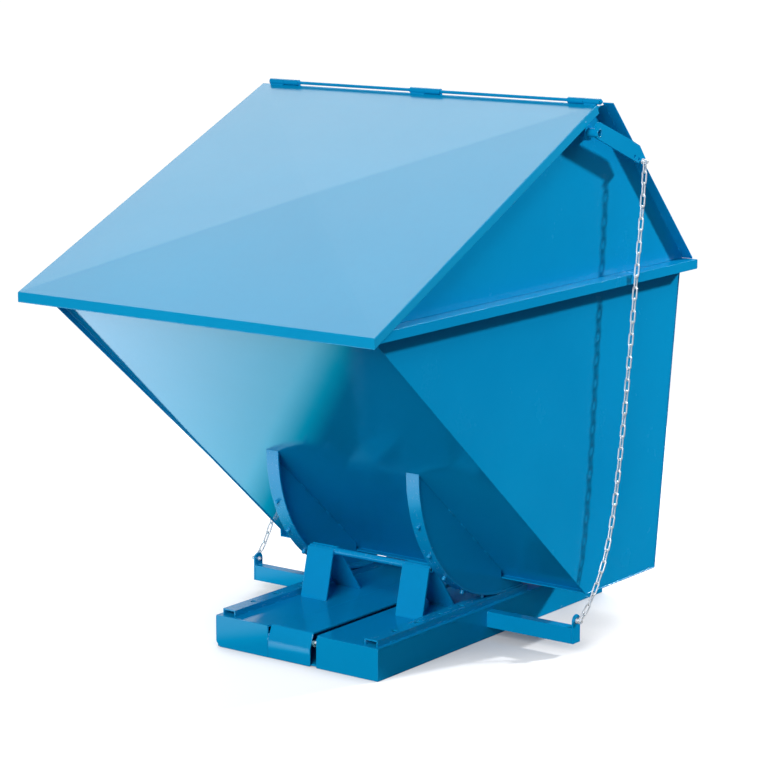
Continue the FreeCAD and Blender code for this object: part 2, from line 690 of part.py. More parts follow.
def lid_half(y, inset=0.0):
    return lf + (lr - lf) * (y - ly0) / (ly1 - ly0) - inset


def lid_loop(front, rear, inset):
    return [(-lid_half(front[0], inset), front[0], front[1]),
            (lid_half(front[0], inset), front[0], front[1]),
            (lid_half(rear[0], inset), rear[0], rear[1]),
            (-lid_half(rear[0], inset), rear[0], rear[1])]


def off(point, depth):
    return (point[0] - ny * depth, point[1] - nz * depth)


front_p, rear_p = (ly0, lz0), (ly1, lz1)
outer = hexa(lid_loop((ly0, lz0 - lh), off(rear_p, lh), 0), lid_loop(front_p, rear_p, 0))
back = (ly1 + 40, lz1 + 40 * math.tan(ang))
inner = hexa(lid_loop((ly0 + lt, lz0 - lh - 20), off(back, lh + 30), lt),
             lid_loop((ly0 + lt, lid_top(ly0 + lt) - lt / math.cos(ang)), off(back, lt), lt))
pan = outer.cut(inner)
# the cross-broken top: a very low pyramid with its creases on the diagonals
mid_y, mid_z = (ly0 + ly1) / 2, (lz0 + lz1) / 2
crown = v("lid_crown")


def pyramid(loop, tip):
    base = [Vector(*p) for p in loop]
    faces = [Part.Face(Part.makePolygon(base + [base[0]]))]
    for i in range(4):
        a, b = base[i], base[(i + 1) % 4]
        faces.append(Part.Face(Part.makePolygon([a, b, tip, a])))
    solid = Part.makeSolid(Part.makeShell(faces))
    if solid.Volume < 0:
        solid.reverse()
    return solid


cap = pyramid(lid_loop(front_p, rear_p, 0),
              Vector(0, mid_y + ny * crown, mid_z + nz * crown))
front_lid = pan.fuse(cap).removeSplitter()
hollow = pyramid(
    lid_loop((ly0 + 40, lid_top(ly0 + 40) - lt / math.cos(ang)),
             (ly1 - 20, lid_top(ly1 - 20) - lt / math.cos(ang)), 40),
    Vector(0, mid_y + ny * (crown - lt), mid_z + nz * (crown - lt)))
front_lid = front_lid.cut(hollow)
feature("front_lid", front_lid)

def above_lid(y):
    """A height just above the lid's rear facet."""
    return lid_top(y) + 0.1 + crown * (ly1 - y) / (ly1 - mid_y) / math.cos(ang)


for x0, x1 in ((-599, -543), (-44, 13), (590, 647)):
    solid = tube_x(x0 + 0.3, x1 - 0.3, hy, hz, kd, kb)
    a = (hy + 1, above_lid(hy + 1))
    b = (hy - 6, above_lid(hy - 6))
    c = (hy - 6, hz - 5.5)
    d = (hy + 1, hz - 5.5)
    xe = min(x1 - 2, 633.0)
    leaf = Part.Face(Part.makePolygon(
        [Vector(x0 + 2, p[0], p[1]) for p in (a, b, c, d, a)])).extrude(
            Vector(xe - x0 - 2, 0, 0))
    bore = Part.makeCylinder(kb / 2, x1 - x0, Vector(x0, hy, hz), Vector(1, 0, 0))
    moving.append(solid.fuse(leaf).cut(bore).removeSplitter())
feature("front_lid_knuckles", Part.makeCompound(moving))

# ---------------------------------------------------- lever shaft and arms
across("lever_shaft", -D.shaft_half, D.shaft_half, rings=[
    (D.shaft_y, D.shaft_z, D.shaft_dia), (D.shaft_y, D.shaft_z, D.shaft_bore)])
sy, sz = v("shaft_y"), v("shaft_z")
for side, name in SIDES:
    a, b = sided(side, D.shaft_half, D.shaft_half + D.lever_thk)
    # the end around the shaft is square with its corners cut
    nose = [(197, 1620.5), (185, 1619), (177.5, 1611), (177.5, 1582), (184, 1573.5)]
    across("lever_" + name, a, b, [
        [(441, 1471), (463, 1486), (426, 1532), (377, 1553)] + nose],
        rings=[(D.tip_y, D.tip_z, 7.2), (398, 1502, 9), (422, 1492, 9),
               (D.shaft_y, D.shaft_z, D.shaft_bore)])
feature("chain_bolts_upper", Part.makeCompound([
    bolt(v("tip_y"), v("tip_z"), 643.0, 672.5, s, v("eye_dia"), 12.0, 646.9)
    for s in (1, -1)]))

roller_y, roller_z = -164.3, 1469.5
body = new_body("lid_push_arms")
dy, dz = roller_y - sy, roller_z - sz
dl = math.hypot(dy, dz)
uy, uz = dy / dl, dz / dl
py, pz = -uz, uy


def arm_point(along, off_axis):
    return (sy + uy * along + py * off_axis, sz + uz * along + pz * off_axis)


for x in (-455, 445):
    pad(body, YZ, x, 10, [[arm_point(14.2, 16), arm_point(14.2, -16), arm_point(372, -10),
                           arm_point(388, -6), arm_point(388, 4), arm_point(372, 10)]],
        rings=[(roller_y, roller_z, 10)])
rollers = []
for x in (-445.0, 425.0):
    rollers.append(Part.makeCylinder(12, 20, Vector(x, roller_y, roller_z), Vector(1, 0, 0)))
for i, x in enumerate((-457.0, 423.0)):
    axle = Part.makeCylinder(4.9, 34, Vector(x, roller_y, roller_z), Vector(1, 0, 0))
    rollers[i] = rollers[i].fuse(axle).removeSplitter()
feature("lid_rollers", Part.makeCompound(rollers))

# -------------------------------------------------------------- chains
wire_d, gap_w, step = v("link_wire"), v("link_width"), v("link_pitch")
arc_r = (gap_w + wire_d) / 2
straight = step + 0.2 - gap_w


def link(a, b, cross):
    """One link between two joint points; cross is its width direction."""
    way = (b - a).normalize()
    wide = (cross - way * cross.dot(way)).normalize()
    c = (a + b) * 0.5
    p = [c + way * (straight / 2) + wide * arc_r, c - way * (straight / 2) + wide * arc_r,
         c - way * (straight / 2) - wide * arc_r, c + way * (straight / 2) - wide * arc_r]
    edges = [Part.LineSegment(p[0], p[1]).toShape(),
             Part.Arc(p[1], c - way * (straight / 2 + arc_r), p[2]).toShape(),
             Part.LineSegment(p[2], p[3]).toShape(),
             Part.Arc(p[3], c + way * (straight / 2 + arc_r), p[0]).toShape()]
    path = Part.Wire(edges)
    profile = Part.Wire([Part.makeCircle(wire_d / 2, p[0], way)])
    return path.makePipeShell([profile], True, True)


# joint curve of the right chain: lower eye, slack bow, over the rim edge, lever;
# it runs past the bolts by half a gap, so that the end links lie round them
route = [(634.5, 160, 106), (635.5, 196, 132), (637.5, 224, 165), (640, 252, 208),
         (643.5, 284, 272), (647, 313, 366), (650, 333, 470), (652.5, 350, 585),
         (655.5, 368, 730), (659, 389, 930), (662, 409, 1127), (665, 427, 1300),
         (667, 441, 1483)]
past = (gap_w - 0.2) / 2
for here, there in ((0, 1), (-1, -2)):
    pull = (Vector(*route[here]) - Vector(*route[there])).normalize() * past
    route[here] = tuple(Vector(*route[here]) + pull)


def spline_points(points):
    """Evenly spread joints along a smooth curve through the route."""
    curve = Part.BSplineCurve()
    curve.interpolate([Vector(*p) for p in points])
    return curve


def joints_on(curve, count, chord):
    pts, t = [curve.value(curve.FirstParameter)], curve.FirstParameter
    for _ in range(count):
        lo, hi = t, t
        while hi < curve.LastParameter and (curve.value(hi) - pts[-1]).Length < chord:
            hi += (curve.LastParameter - curve.FirstParameter) / 400.0
        for _ in range(40):
            m = (lo + hi) / 2
            if (curve.value(m) - pts[-1]).Length < chord:
                lo = m
            else:
                hi = m
        t = hi
        pts.append(curve.value(t))
    return pts


count = int(v("link_count"))
curve = spline_points(route)
total = curve.length()
joints = joints_on(curve, count, step)
print("chain curve %.1f mm, end of link %d at %s" % (total, count, joints[-1]))
chord = step
for _ in range(30):
    miss = (joints[-1] - Vector(*route[-1])).Length
    if miss < 0.02:
        break
    chord = chord + (1 if joints[-1].z < route[-1][2] else -1) * miss / count
    joints = joints_on(curve, count, chord)
print("chain pitch used %.3f mm" % chord)
straight = chord + 0.2 - gap_w
# end links: their inner end circles are centred on the two bolts
for side, name in SIDES:
    links = []
    for k in range(count):
        a, b = Vector(joints[k]), Vector(joints[k + 1])
        a.x, b.x = side * a.x, side * b.x
        way = (b - a).normalize()
        flat = Vector(1, 0, 0).cross(way)
        cross = flat if k % 2 == 0 else Vector(1, 0, 0)
        links.append(link(a, b, cross))
    feature("chain_" + name, Part.makeCompound(links))

# two small discs on the rolling axis, inside the side walls: they mark the
# rocker circle's centre and carry nothing
discs = []
for side in (1, -1):
    discs.append(Part.makeCylinder(12, 5, Vector(side * 590.3, cy, cz), Vector(side, 0, 0)))
feature("roll_axis_discs", Part.makeCompound(discs))

# ---------------------------------------------------------------- output
doc.recompute()
bad = [o.Label for o in doc.Objects if "Invalid" in o.State or "Error" in o.State]
if bad:
    raise RuntimeError("failed objects: %s" % bad)
if len(NODES) > 60:
    raise RuntimeError("too many sub-parts: %d" % len(NODES))
lo, hi = [1e9] * 3, [-1e9] * 3
for obj in NODES:
    shape = obj.Shape
    if shape.isNull() or not shape.isValid() or not shape.Solids:
        raise RuntimeError("bad shape: " + obj.Label)
    box = shape.BoundBox
    lo = [min(a, b) for a, b in zip(lo, (box.XMin, box.YMin, box.ZMin))]
    hi = [max(a, b) for a, b in zip(hi, (box.XMax, box.YMax, box.ZMax))]
    shape.exportStep("parts/%s.step" % obj.Label)
    print("%-22s solids %2d  vol %9.0f  X %.1f..%.1f Y %.1f..%.1f Z %.1f..%.1f" % (
        obj.Label, len(shape.Solids), shape.Volume, box.XMin, box.XMax, box.YMin,
        box.YMax, box.ZMin, box.ZMax))
print("sub-parts", len(NODES), "box", [round(c, 2) for c in lo], [round(c, 2) for c in hi])
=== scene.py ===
import json
import math
import random

import bmesh
import bpy
from mathutils import Matrix, Vector


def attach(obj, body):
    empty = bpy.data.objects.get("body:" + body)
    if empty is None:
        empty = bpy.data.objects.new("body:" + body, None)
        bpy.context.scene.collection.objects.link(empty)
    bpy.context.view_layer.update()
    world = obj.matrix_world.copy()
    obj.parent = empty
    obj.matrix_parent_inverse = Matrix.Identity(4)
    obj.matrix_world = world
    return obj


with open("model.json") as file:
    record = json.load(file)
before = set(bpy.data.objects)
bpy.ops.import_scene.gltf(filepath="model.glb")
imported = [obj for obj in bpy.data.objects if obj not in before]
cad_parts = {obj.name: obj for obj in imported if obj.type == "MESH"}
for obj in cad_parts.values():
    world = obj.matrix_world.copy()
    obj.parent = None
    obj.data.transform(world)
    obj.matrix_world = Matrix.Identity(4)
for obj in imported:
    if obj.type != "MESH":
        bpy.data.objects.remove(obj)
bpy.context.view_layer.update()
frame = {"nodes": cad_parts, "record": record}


scene = bpy.context.scene
nodes = frame["nodes"]
bodies = frame["record"]["behaviour"]["bodies"]


def M(x, y, z):
    """Millimetres of the working datum to metres of the frame."""
    return Vector((x / 1000.0, (y + 46.0) / 1000.0, z / 1000.0))


# --------------------------------------------------------------- camera
az, el, dist = math.radians(36.727), math.radians(11.0105), 8.36078
target = Vector((0.0, 0.046, 0.8))
away = Vector((math.cos(el) * math.sin(az), -math.cos(el) * math.cos(az), math.sin(el)))
cam = bpy.data.objects.new("camera", bpy.data.cameras.new("camera"))
scene.collection.objects.link(cam)
cam.location = target + away * dist
cam.rotation_euler = (-away).to_track_quat("-Z", "Y").to_euler()
cam.data.sensor_width = 36.0
cam.data.sensor_fit = "HORIZONTAL"
cam.data.lens = 2715.567 / 770.0 * 36.0
cam.data.shift_x = 4.788 / 770.0
cam.data.shift_y = -3.885 / 770.0
cam.data.clip_end = 200.0
scene.camera = cam

scene.view_settings.view_transform = "Standard"
scene.view_settings.look = "None"
scene.view_settings.exposure = 0.0
scene.view_settings.gamma = 1.0

# ---------------------------------------------------------------- lights


def area(name, place, aim, size, power, colour=(1, 1, 1), size_y=None):
    data = bpy.data.lights.new(name, "AREA")
    data.energy = power
    data.color = colour
    data.shape = "RECTANGLE" if size_y else "SQUARE"
    data.size = size
    if size_y:
        data.size_y = size_y
    obj = bpy.data.objects.new(name, data)
    scene.collection.objects.link(obj)
    obj.location = place
    obj.rotation_euler = (Vector(aim) - Vector(place)).to_track_quat("-Z", "Y").to_euler()
    return obj


wall_mid = Vector((0.6, 0.1, 1.0))
key_way = Vector((0.453, 0.785, 0.423)).normalized()
area("key_right_rear", wall_mid + key_way * 10.0, wall_mid, 0.6, 1240.0)
front_way = Vector((0.25, -0.86, 0.45)).normalized()
area("front_high", Vector((0.0, -0.2, 0.7)) + front_way * 12.0, (0.0, -0.2, 0.7), 6.0, 1340.0)

world = bpy.data.worlds.new("studio")
scene.world = world
world.use_nodes = True
wt = world.node_tree
wt.nodes.clear()
w_out = wt.nodes.new("ShaderNodeOutputWorld")
w_mix = wt.nodes.new("ShaderNodeMixShader")
w_path = wt.nodes.new("ShaderNodeLightPath")
w_dim = wt.nodes.new("ShaderNodeBackground")
w_white = wt.nodes.new("ShaderNodeBackground")
w_dim.inputs[0].default_value = (0.55, 0.78, 1.0, 1.0)
w_dim.inputs[1].default_value = 0.10
w_white.inputs[0].default_value = (1.0, 1.0, 1.0, 1.0)
w_white.inputs[1].default_value = 1.05


def w_math(kind, a, b):
    node = wt.nodes.new("ShaderNodeMath")
    node.operation = kind
    for socket, value in ((node.inputs[0], a), (node.inputs[1], b)):
        if hasattr(value, "links"):
            wt.links.new(value, socket)
        else:
            socket.default_value = value
    return node.outputs[0]


def w_ramp(value, low, high):
    node = wt.nodes.new("ShaderNodeMapRange")
    node.interpolation_type = "SMOOTHSTEP"
    node.inputs["From Min"].default_value = low
    node.inputs["From Max"].default_value = high
    wt.links.new(value, node.inputs["Value"])
    return node.outputs["Result"]


def w_towards(way):
    """Cosine of the angle between a direction of the studio and a fixed one."""
    node = wt.nodes.new("ShaderNodeVectorMath")
    node.operation = "DOT_PRODUCT"
    wt.links.new(w_sky, node.inputs[0])
    node.inputs[1].default_value = Vector(way).normalized()
    return node.outputs["Value"]


# a far, wide and soft lit wall behind the object's left shoulder
w_sky = wt.nodes.new("ShaderNodeTexCoord").outputs["Generated"]
lobe = w_ramp(w_towards((-0.525, 0.714, 0.465)), math.cos(math.radians(48)),
              math.cos(math.radians(5)))
lobe = w_math("MULTIPLY", lobe, w_ramp(w_towards((0, 0, 1)), 0.20, 0.42))
w_lit = wt.nodes.new("ShaderNodeBackground")
w_lit.inputs[0].default_value = (0.90, 0.97, 0.96, 1.0)
wt.links.new(w_math("MULTIPLY", lobe, 3.0), w_lit.inputs[1])
w_add = wt.nodes.new("ShaderNodeAddShader")
wt.links.new(w_dim.outputs[0], w_add.inputs[0])
wt.links.new(w_lit.outputs[0], w_add.inputs[1])
wt.links.new(w_path.outputs["Is Camera Ray"], w_mix.inputs[0])
wt.links.new(w_add.outputs[0], w_mix.inputs[1])
wt.links.new(w_white.outputs[0], w_mix.inputs[2])
wt.links.new(w_mix.outputs[0], w_out.inputs[0])

# ----------------------------------------------------------------- floor
fm = bpy.data.materials.new("studio_floor")
fm.use_nodes = True
ft = fm.node_tree
fb = ft.nodes["Principled BSDF"]
fb.inputs["Base Color"].default_value = (0.58, 0.58, 0.59, 1.0)
fb.inputs["Roughness"].default_value = 0.75
fb.inputs["Specular IOR Level"].default_value = 0.0
fb.inputs["Emission Color"].default_value = (1.0, 1.0, 1.0, 1.0)


def f_node(kind, **inputs):
    node = ft.nodes.new(kind)
    for key, value in inputs.items():
        socket = node.inputs[int(key[1:])]
        if hasattr(value, "links"):
            ft.links.new(value, socket)
        else:
            socket.default_value = value
    return node


# painted shadow: the floor's glow, which makes it white, is dimmed by ambient occlusion where the
# object stands close over it
f_near = f_node("ShaderNodeAmbientOcclusion")
f_near.samples = 12
f_near.inputs["Distance"].default_value = 0.55
f_glow_with_painted_shadow = f_node("ShaderNodeMapRange", _0=f_near.outputs["AO"], _1=0.25, _2=0.82, _3=0.10,
                 _4=0.66)
ft.links.new(f_glow_with_painted_shadow.outputs["Result"], fb.inputs["Emission Strength"])
# painted reflection: glossy rays see the floor glow, black on the right and bright and bluish on
# the left, parted along a slanted line
f_pos = f_node("ShaderNodeNewGeometry").outputs["Position"]
f_sep = f_node("ShaderNodeSeparateXYZ", _0=f_pos)
f_lean = f_node("ShaderNodeMath", _0=f_sep.outputs["Y"], _1=0.24)
f_lean.operation = "ADD"
f_skew = f_node("ShaderNodeMath", _0=f_lean.outputs[0], _1=0.65)
f_skew.operation = "MULTIPLY"
f_way = f_node("ShaderNodeMath", _0=f_sep.outputs["X"], _1=f_skew.outputs[0])
f_way.operation = "ADD"
f_cyan = f_node("ShaderNodeMapRange", _0=f_way.outputs[0], _1=-0.36, _2=-0.58, _3=0.0, _4=2.0)
f_far = f_node("ShaderNodeMapRange", _0=f_way.outputs[0], _1=-0.58, _2=-1.60, _3=0.0, _4=1.1)
f_sum = f_node("ShaderNodeMath", _0=f_cyan.outputs["Result"], _1=f_far.outputs["Result"])
f_sum.operation = "ADD"
f_red1 = f_node("ShaderNodeMapRange", _0=f_way.outputs[0], _1=-0.46, _2=-0.60, _3=0.0, _4=0.75)
f_red2 = f_node("ShaderNodeMapRange", _0=f_way.outputs[0], _1=-0.60, _2=-1.60, _3=0.0, _4=1.35)
f_red = f_node("ShaderNodeMath", _0=f_red1.outputs["Result"], _1=f_red2.outputs["Result"])
f_red.operation = "ADD"
f_blue = f_node("ShaderNodeMath", _0=f_sum.outputs[0], _1=1.24)
f_blue.operation = "MULTIPLY"
f_painted_reflection_tone = f_node("ShaderNodeCombineXYZ", _0=f_red.outputs[0], _1=f_sum.outputs[0],
                _2=f_blue.outputs[0])
f_painted_reflection = f_node("ShaderNodeEmission", _0=f_painted_reflection_tone.outputs[0], _1=1.0)
# what lights the object from below
f_ramp = f_node("ShaderNodeMapRange", _0=f_sep.outputs["X"], _1=-0.30, _2=-1.10, _3=0.02,
                _4=0.55)
f_back = f_node("ShaderNodeBsdfPrincipled", _0=(0.17, 0.17, 0.18, 1.0))
f_back.inputs["Roughness"].default_value = 0.8
f_back.inputs["Emission Color"].default_value = (0.92, 0.97, 1.0, 1.0)
ft.links.new(f_ramp.outputs["Result"], f_back.inputs["Emission Strength"])
f_path = f_node("ShaderNodeLightPath")
f_mix1 = f_node("ShaderNodeMixShader", _0=f_path.outputs["Is Glossy Ray"],
                _1=f_back.outputs[0], _2=f_painted_reflection.outputs[0])
f_mix = f_node("ShaderNodeMixShader", _0=f_path.outputs["Is Camera Ray"],
               _1=f_mix1.outputs[0], _2=fb.outputs[0])
ft.links.new(f_mix.outputs[0], ft.nodes["Material Output"].inputs["Surface"])
me = bpy.data.meshes.new("studio_floor")
bm = bmesh.new()
bmesh.ops.create_circle(bm, cap_ends=True, cap_tris=False, segments=96, radius=3.4)
bm.to_mesh(me)
bm.free()
floor = bpy.data.objects.new("studio_floor", me)
floor.location = (0.0, 0.0, -0.0005)
me.materials.append(fm)
scene.collection.objects.link(floor)

# ------------------------------------------------------------- materials


def nodes_of(name):
    mat = bpy.data.materials.new(name)
    mat.use_nodes = True
    tree = mat.node_tree
    return mat, tree, tree.nodes["Principled BSDF"]


def noise(tree, source, scale, detail=3.0, rough=0.5, stretch=None):
    if stretch:
        mp = tree.nodes.new("ShaderNodeMapping")
        mp.inputs["Scale"].default_value = stretch
        tree.links.new(source, mp.inputs["Vector"])
        source = mp.outputs["Vector"]
    n = tree.nodes.new("ShaderNodeTexNoise")
    n.inputs["Scale"].default_value = scale
    n.inputs["Detail"].default_value = detail
    n.inputs["Roughness"].default_value = rough
    tree.links.new(source, n.inputs["Vector"])
    return n.outputs["Fac"]


def remap(tree, value, low, high, src_low=0.3, src_high=0.7):
    m = tree.nodes.new("ShaderNodeMapRange")
    m.inputs["From Min"].default_value = src_low
    m.inputs["From Max"].default_value = src_high
    m.inputs["To Min"].default_value = low
    m.inputs["To Max"].default_value = high
    tree.links.new(value, m.inputs["Value"])
    return m.outputs["Result"]


def blend_colour(tree, fac, a, b):
    m = tree.nodes.new("ShaderNodeMix")
    m.data_type = "RGBA"
    tree.links.new(fac, m.inputs[0])
    for socket, col in ((m.inputs[6], a), (m.inputs[7], b)):
        if hasattr(col, "links"):
            tree.links.new(col, socket)
        else:
            socket.default_value = tuple(col) + (1.0,)
    return m.outputs[2]


def bump(tree, height, strength, distance, after=None):
    b = tree.nodes.new("ShaderNodeBump")
    b.inputs["Strength"].default_value = strength
    b.inputs["Distance"].default_value = distance
    tree.links.new(height, b.inputs["Height"])
    if after is not None:
        tree.links.new(after, b.inputs["Normal"])
    return b.outputs["Normal"]


BLUE_A, BLUE_B = (0.0005, 0.262, 0.545), (0.0008, 0.292, 0.590)


def paint(name, gloss, specular, wave, rubbed=0.0, coat=0.0, tones=None, tint=None):
    """Powder coat: slight tone shift, orange peel, long shallow waves of the
    sheet, dusty film in places, and rubbed streaks where metal runs on metal."""
    mat, tree, bsdf = nodes_of(name)
    pos = tree.nodes.new("ShaderNodeTexCoord").outputs["Object"]
    big = noise(tree, pos, 1.7, 4.0)
    tones = tones or (BLUE_A, BLUE_B)
    colour = blend_colour(tree, remap(tree, big, 0.0, 1.0), tones[0], tones[1])
    fine = noise(tree, pos, 38.0, 5.0, 0.6)
    colour = blend_colour(tree, remap(tree, fine, 0.0, 0.10, 0.45, 0.8), colour,
                          (0.0004, 0.215, 0.470))
    rough = remap(tree, noise(tree, pos, 7.0, 5.0, 0.65), gloss - 0.035, gloss + 0.045)
    if rubbed:
        streak = noise(tree, pos, 26.0, 6.0, 0.7, stretch=(5.0, 0.6, 5.0))
        mask = remap(tree, streak, 0.0, rubbed, 0.56, 0.72)
        colour = blend_colour(tree, mask, colour, (0.11, 0.36, 0.58))
        more = tree.nodes.new("ShaderNodeMath")
        more.operation = "ADD"
        tree.links.new(rough, more.inputs[0])
        tree.links.new(remap(tree, streak, 0.0, 0.12, 0.50, 0.72), more.inputs[1])
        rough = more.outputs[0]
    tree.links.new(colour, bsdf.inputs["Base Color"])
    tree.links.new(rough, bsdf.inputs["Roughness"])
    bsdf.inputs["Specular IOR Level"].default_value = specular
    bsdf.inputs["IOR"].default_value = 1.5
    if tint:
        bsdf.inputs["Specular Tint"].default_value = tint + (1.0,)
    if coat:
        bsdf.inputs["Coat Weight"].default_value = coat
        bsdf.inputs["Coat Roughness"].default_value = 0.06
    sheet = bump(tree, noise(tree, pos, 2.3, 2.0, 0.4), 1.0, wave)
    peel = bump(tree, noise(tree, pos, 430.0, 2.0, 0.5), 0.16, 0.0004, sheet)
    tree.links.new(peel, bsdf.inputs["Normal"])
    return mat


def metal(name, tone, rough, spangle, metallic=1.0):
    mat, tree, bsdf = nodes_of(name)
    pos = tree.nodes.new("ShaderNodeTexCoord").outputs["Object"]
    cell = tree.nodes.new("ShaderNodeTexVoronoi")
    cell.inputs["Scale"].default_value = spangle
    tree.links.new(pos, cell.inputs["Vector"])
    patch = remap(tree, noise(tree, pos, 60.0, 4.0), 0.0, 1.0)
    light = tuple(min(1.0, c * 1.06) for c in tone)
    dark = tuple(c * 0.86 for c in tone)
    colour = blend_colour(tree, patch, dark, light)
    colour = blend_colour(tree, remap(tree, cell.outputs["Distance"], 0.0, 0.35, 0.0, 1.0),
                          colour, tuple(c * 0.78 for c in tone))
    tree.links.new(colour, bsdf.inputs["Base Color"])
    tree.links.new(remap(tree, noise(tree, pos, 130.0, 5.0), rough - 0.08, rough + 0.1),
                   bsdf.inputs["Roughness"])
    bsdf.inputs["Metallic"].default_value = metallic
    n = bump(tree, noise(tree, pos, 300.0, 3.0), 0.25, 0.0003)
    tree.links.new(n, bsdf.inputs["Normal"])
    return mat


paint_body = paint("paint_hopper", 0.09, 0.5, 0.0012)
paint_wall = paint("paint_walls", 0.24, 0.08, 0.0008, tint=(0.10, 0.75, 1.0))
# painted light: the roof wings take lighter tones of the same blue, standing in for the stronger
# light on the upward-facing lid
paint_lid_painted_light = paint("paint_roof_painted_light", 0.18, 0.5, 0.0003,
                  tones=((0.0005, 0.292, 0.560), (0.0008, 0.320, 0.605)))
paint_base = paint("paint_base", 0.09, 0.45, 0.0006)
paint_run = paint("paint_running_faces", 0.20, 0.55, 0.0003, rubbed=0.55)
paint_weld = paint("paint_on_welds", 0.22, 0.5, 0.0002)
zinc = metal("zinc_plate", (0.90, 0.92, 0.94), 0.36, 180.0, 0.45)
steel = metal("drawn_steel", (0.60, 0.61, 0.62), 0.30, 90.0)

LOOK = {}
for n in nodes:
    LOOK[n] = paint_body
for n in bodies["base"]:
    LOOK[n] = paint_base
for n in ("front_lid", "rear_lid"):
    LOOK[n] = paint_lid_painted_light
for n in ("side_wall_right", "side_wall_left", "gable_right", "gable_left", "rear_wall",
          "rim_right", "rim_left", "rim_front", "rim_rear", "lever_right", "lever_left",
          "shaft_bosses", "ridge_beam"):
    LOOK[n] = paint_wall
for n in ("rail_right", "rail_left", "rocker_strip_right", "rocker_strip_left",
          "stop_crossbar", "rocker_studs", "lid_rollers"):
    LOOK[n] = paint_run
for n in ("chain_right", "chain_left", "chain_bolts_lower", "chain_bolts_upper"):
    LOOK[n] = zinc
for n in ("release_rod", "latch_pivot_pin", "lid_rollers", "roll_axis_discs"):
    LOOK[n] = steel
for n in ("ridge_rod", "rear_hinge_rod", "ridge_knuckles", "front_lid_knuckles"):
    LOOK[n] = paint_body

for n, obj in nodes.items():
    mesh = obj.data
    if not mesh.materials:
        mesh.materials.append(LOOK[n])
    for i in range(len(mesh.materials)):
        mesh.materials[i] = LOOK[n]

# folded and cut edges of the plates get a small radius
BEVEL = {"front_lid": 2.2, "rear_lid": 1.2, "hopper_floor": 1.5, "front_plate_middle": 2.0}
PLAIN = ("chain_right", "chain_left", "rear_lid_handle", "lid_rollers", "roll_axis_discs")
for n, obj in nodes.items():
    if n in PLAIN:
        continue
    join = obj.modifiers.new("join", "WELD")
    join.merge_threshold = 0.00002
    if n != "front_lid":
        flat = obj.modifiers.new("flat", "DECIMATE")
        flat.decimate_type = "DISSOLVE"
        flat.angle_limit = math.radians(0.3)
    edge = obj.modifiers.new("edge", "BEVEL")
    edge.width = BEVEL.get(n, 0.9) / 1000.0
    edge.segments = 2
    edge.limit_method = "ANGLE"
    edge.angle_limit = math.radians(32.0)
    edge.use_clamp_overlap = True
    if n == "front_lid":
        # the creases of the cross-broken sheet stay crisp
        crease = obj.modifiers.new("crease", "EDGE_SPLIT")
        crease.split_angle = math.radians(0.7)
        continue
    edge.harden_normals = True
    tidy = obj.modifiers.new("tidy", "WEIGHTED_NORMAL")
    tidy.keep_sharp = False
    tidy.weight = 80

# ------------------------------------------------------------ weld beads


def tube(bm, points, radius, rnd, step=0.0024, pitch=0.0062, sides=8, closed=False):
    """A rippled bead along a line: closed at both ends, or a ring."""
    runs, total = [], 0.0
    chain = list(points) + ([points[0]] if closed else [])
    for a, b in zip(chain, chain[1:]):
        length = (b - a).length
        runs.append((a, b, total, length))
        total += length
    count = max(3, int(total / step))
    line = []
    for i in range(count + (0 if closed else 1)):
        s = total * i / count
        for a, b, at, length in runs:
            if s <= at + length + 1e-9:
                line.append((a + (b - a) * ((s - at) / length), (b - a).normalized(), s))
                break
    rings = []
    for i, (p, way, s) in enumerate(line):
        ref = Vector((0, 0, 1)) if abs(way.z) < 0.9 else Vector((1, 0, 0))
        u = way.cross(ref).normalized()
        w = way.cross(u).normalized()
        swell = 0.90 + 0.16 * abs(math.sin(math.pi * s / pitch)) + rnd.uniform(-0.05, 0.05)
        if not closed:
            edge = min(s, total - s)
            swell *= min(1.0, 0.35 + 0.65 * edge / (radius * 1.6))
        wob = u * rnd.uniform(-0.06, 0.06) * radius + w * rnd.uniform(-0.06, 0.06) * radius
        rings.append([bm.verts.new(p + wob + (u * math.cos(q) + w * math.sin(q)) * radius * swell)
                      for q in [2 * math.pi * k / sides for k in range(sides)]])
    pairs = list(zip(rings, rings[1:])) + ([(rings[-1], rings[0])] if closed else [])
    for a, b in pairs:
        for k in range(sides):
            m = (k + 1) % sides
            bm.faces.new((a[k], a[m], b[m], b[k]))
    if not closed:
        bm.faces.new(list(reversed(rings[0])))
        bm.faces.new(rings[-1])


def stitches(a, b, length, gap):
    """Short runs between two points."""
    way, total = (b - a).normalized(), (b - a).length
    out, s = [], gap * 0.5
    while s + length <= total:
        out.append([a + way * s, a + way * (s + length)])
        s += length + gap
    return out


def circle(centre, radius, axis, count=48):
    u = axis.orthogonal().normalized()
    w = axis.cross(u).normalized()
    return [centre + (u * math.cos(2 * math.pi * k / count)
                      + w * math.sin(2 * math.pi * k / count)) * radius for k in range(count)]


def beads(name, body, open_lines=(), rings=(), radius=2.4, seed=1, look=None):
    rnd = random.Random(seed)
    bm = bmesh.new()
    for line in open_lines:
        tube(bm, line, radius / 1000.0, rnd)
    for line in rings:
        tube(bm, line, radius / 1000.0, rnd, closed=True)
    bmesh.ops.recalc_face_normals(bm, faces=bm.faces)
    mesh = bpy.data.meshes.new(name)
    bm.to_mesh(mesh)
    bm.free()
    for poly in mesh.polygons:
        poly.use_smooth = True
    mesh.materials.append(look or paint_weld)
    obj = bpy.data.objects.new(name, mesh)
    scene.collection.objects.link(obj)
    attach(obj, body)
    return obj


FD = 0.6564 / 0.7544


def floor_z(y, out=0.0):
    """Height of the slanted floor's outer face, moved out by some millimetres."""
    return 180.1 + (263.1 - y) * FD - out / 0.7544


RY, RZ = 262.0, 581.0


def arc(x, radius, a0, a1, count=60):
    """Points of a rocker circle; angles from straight down towards the front."""
    pts = []
    for k in range(count + 1):
        q = math.radians(a0 + (a1 - a0) * k / count)
        pts.append(M(x, RY - radius * math.sin(q), RZ - radius * math.cos(q)))
    return pts


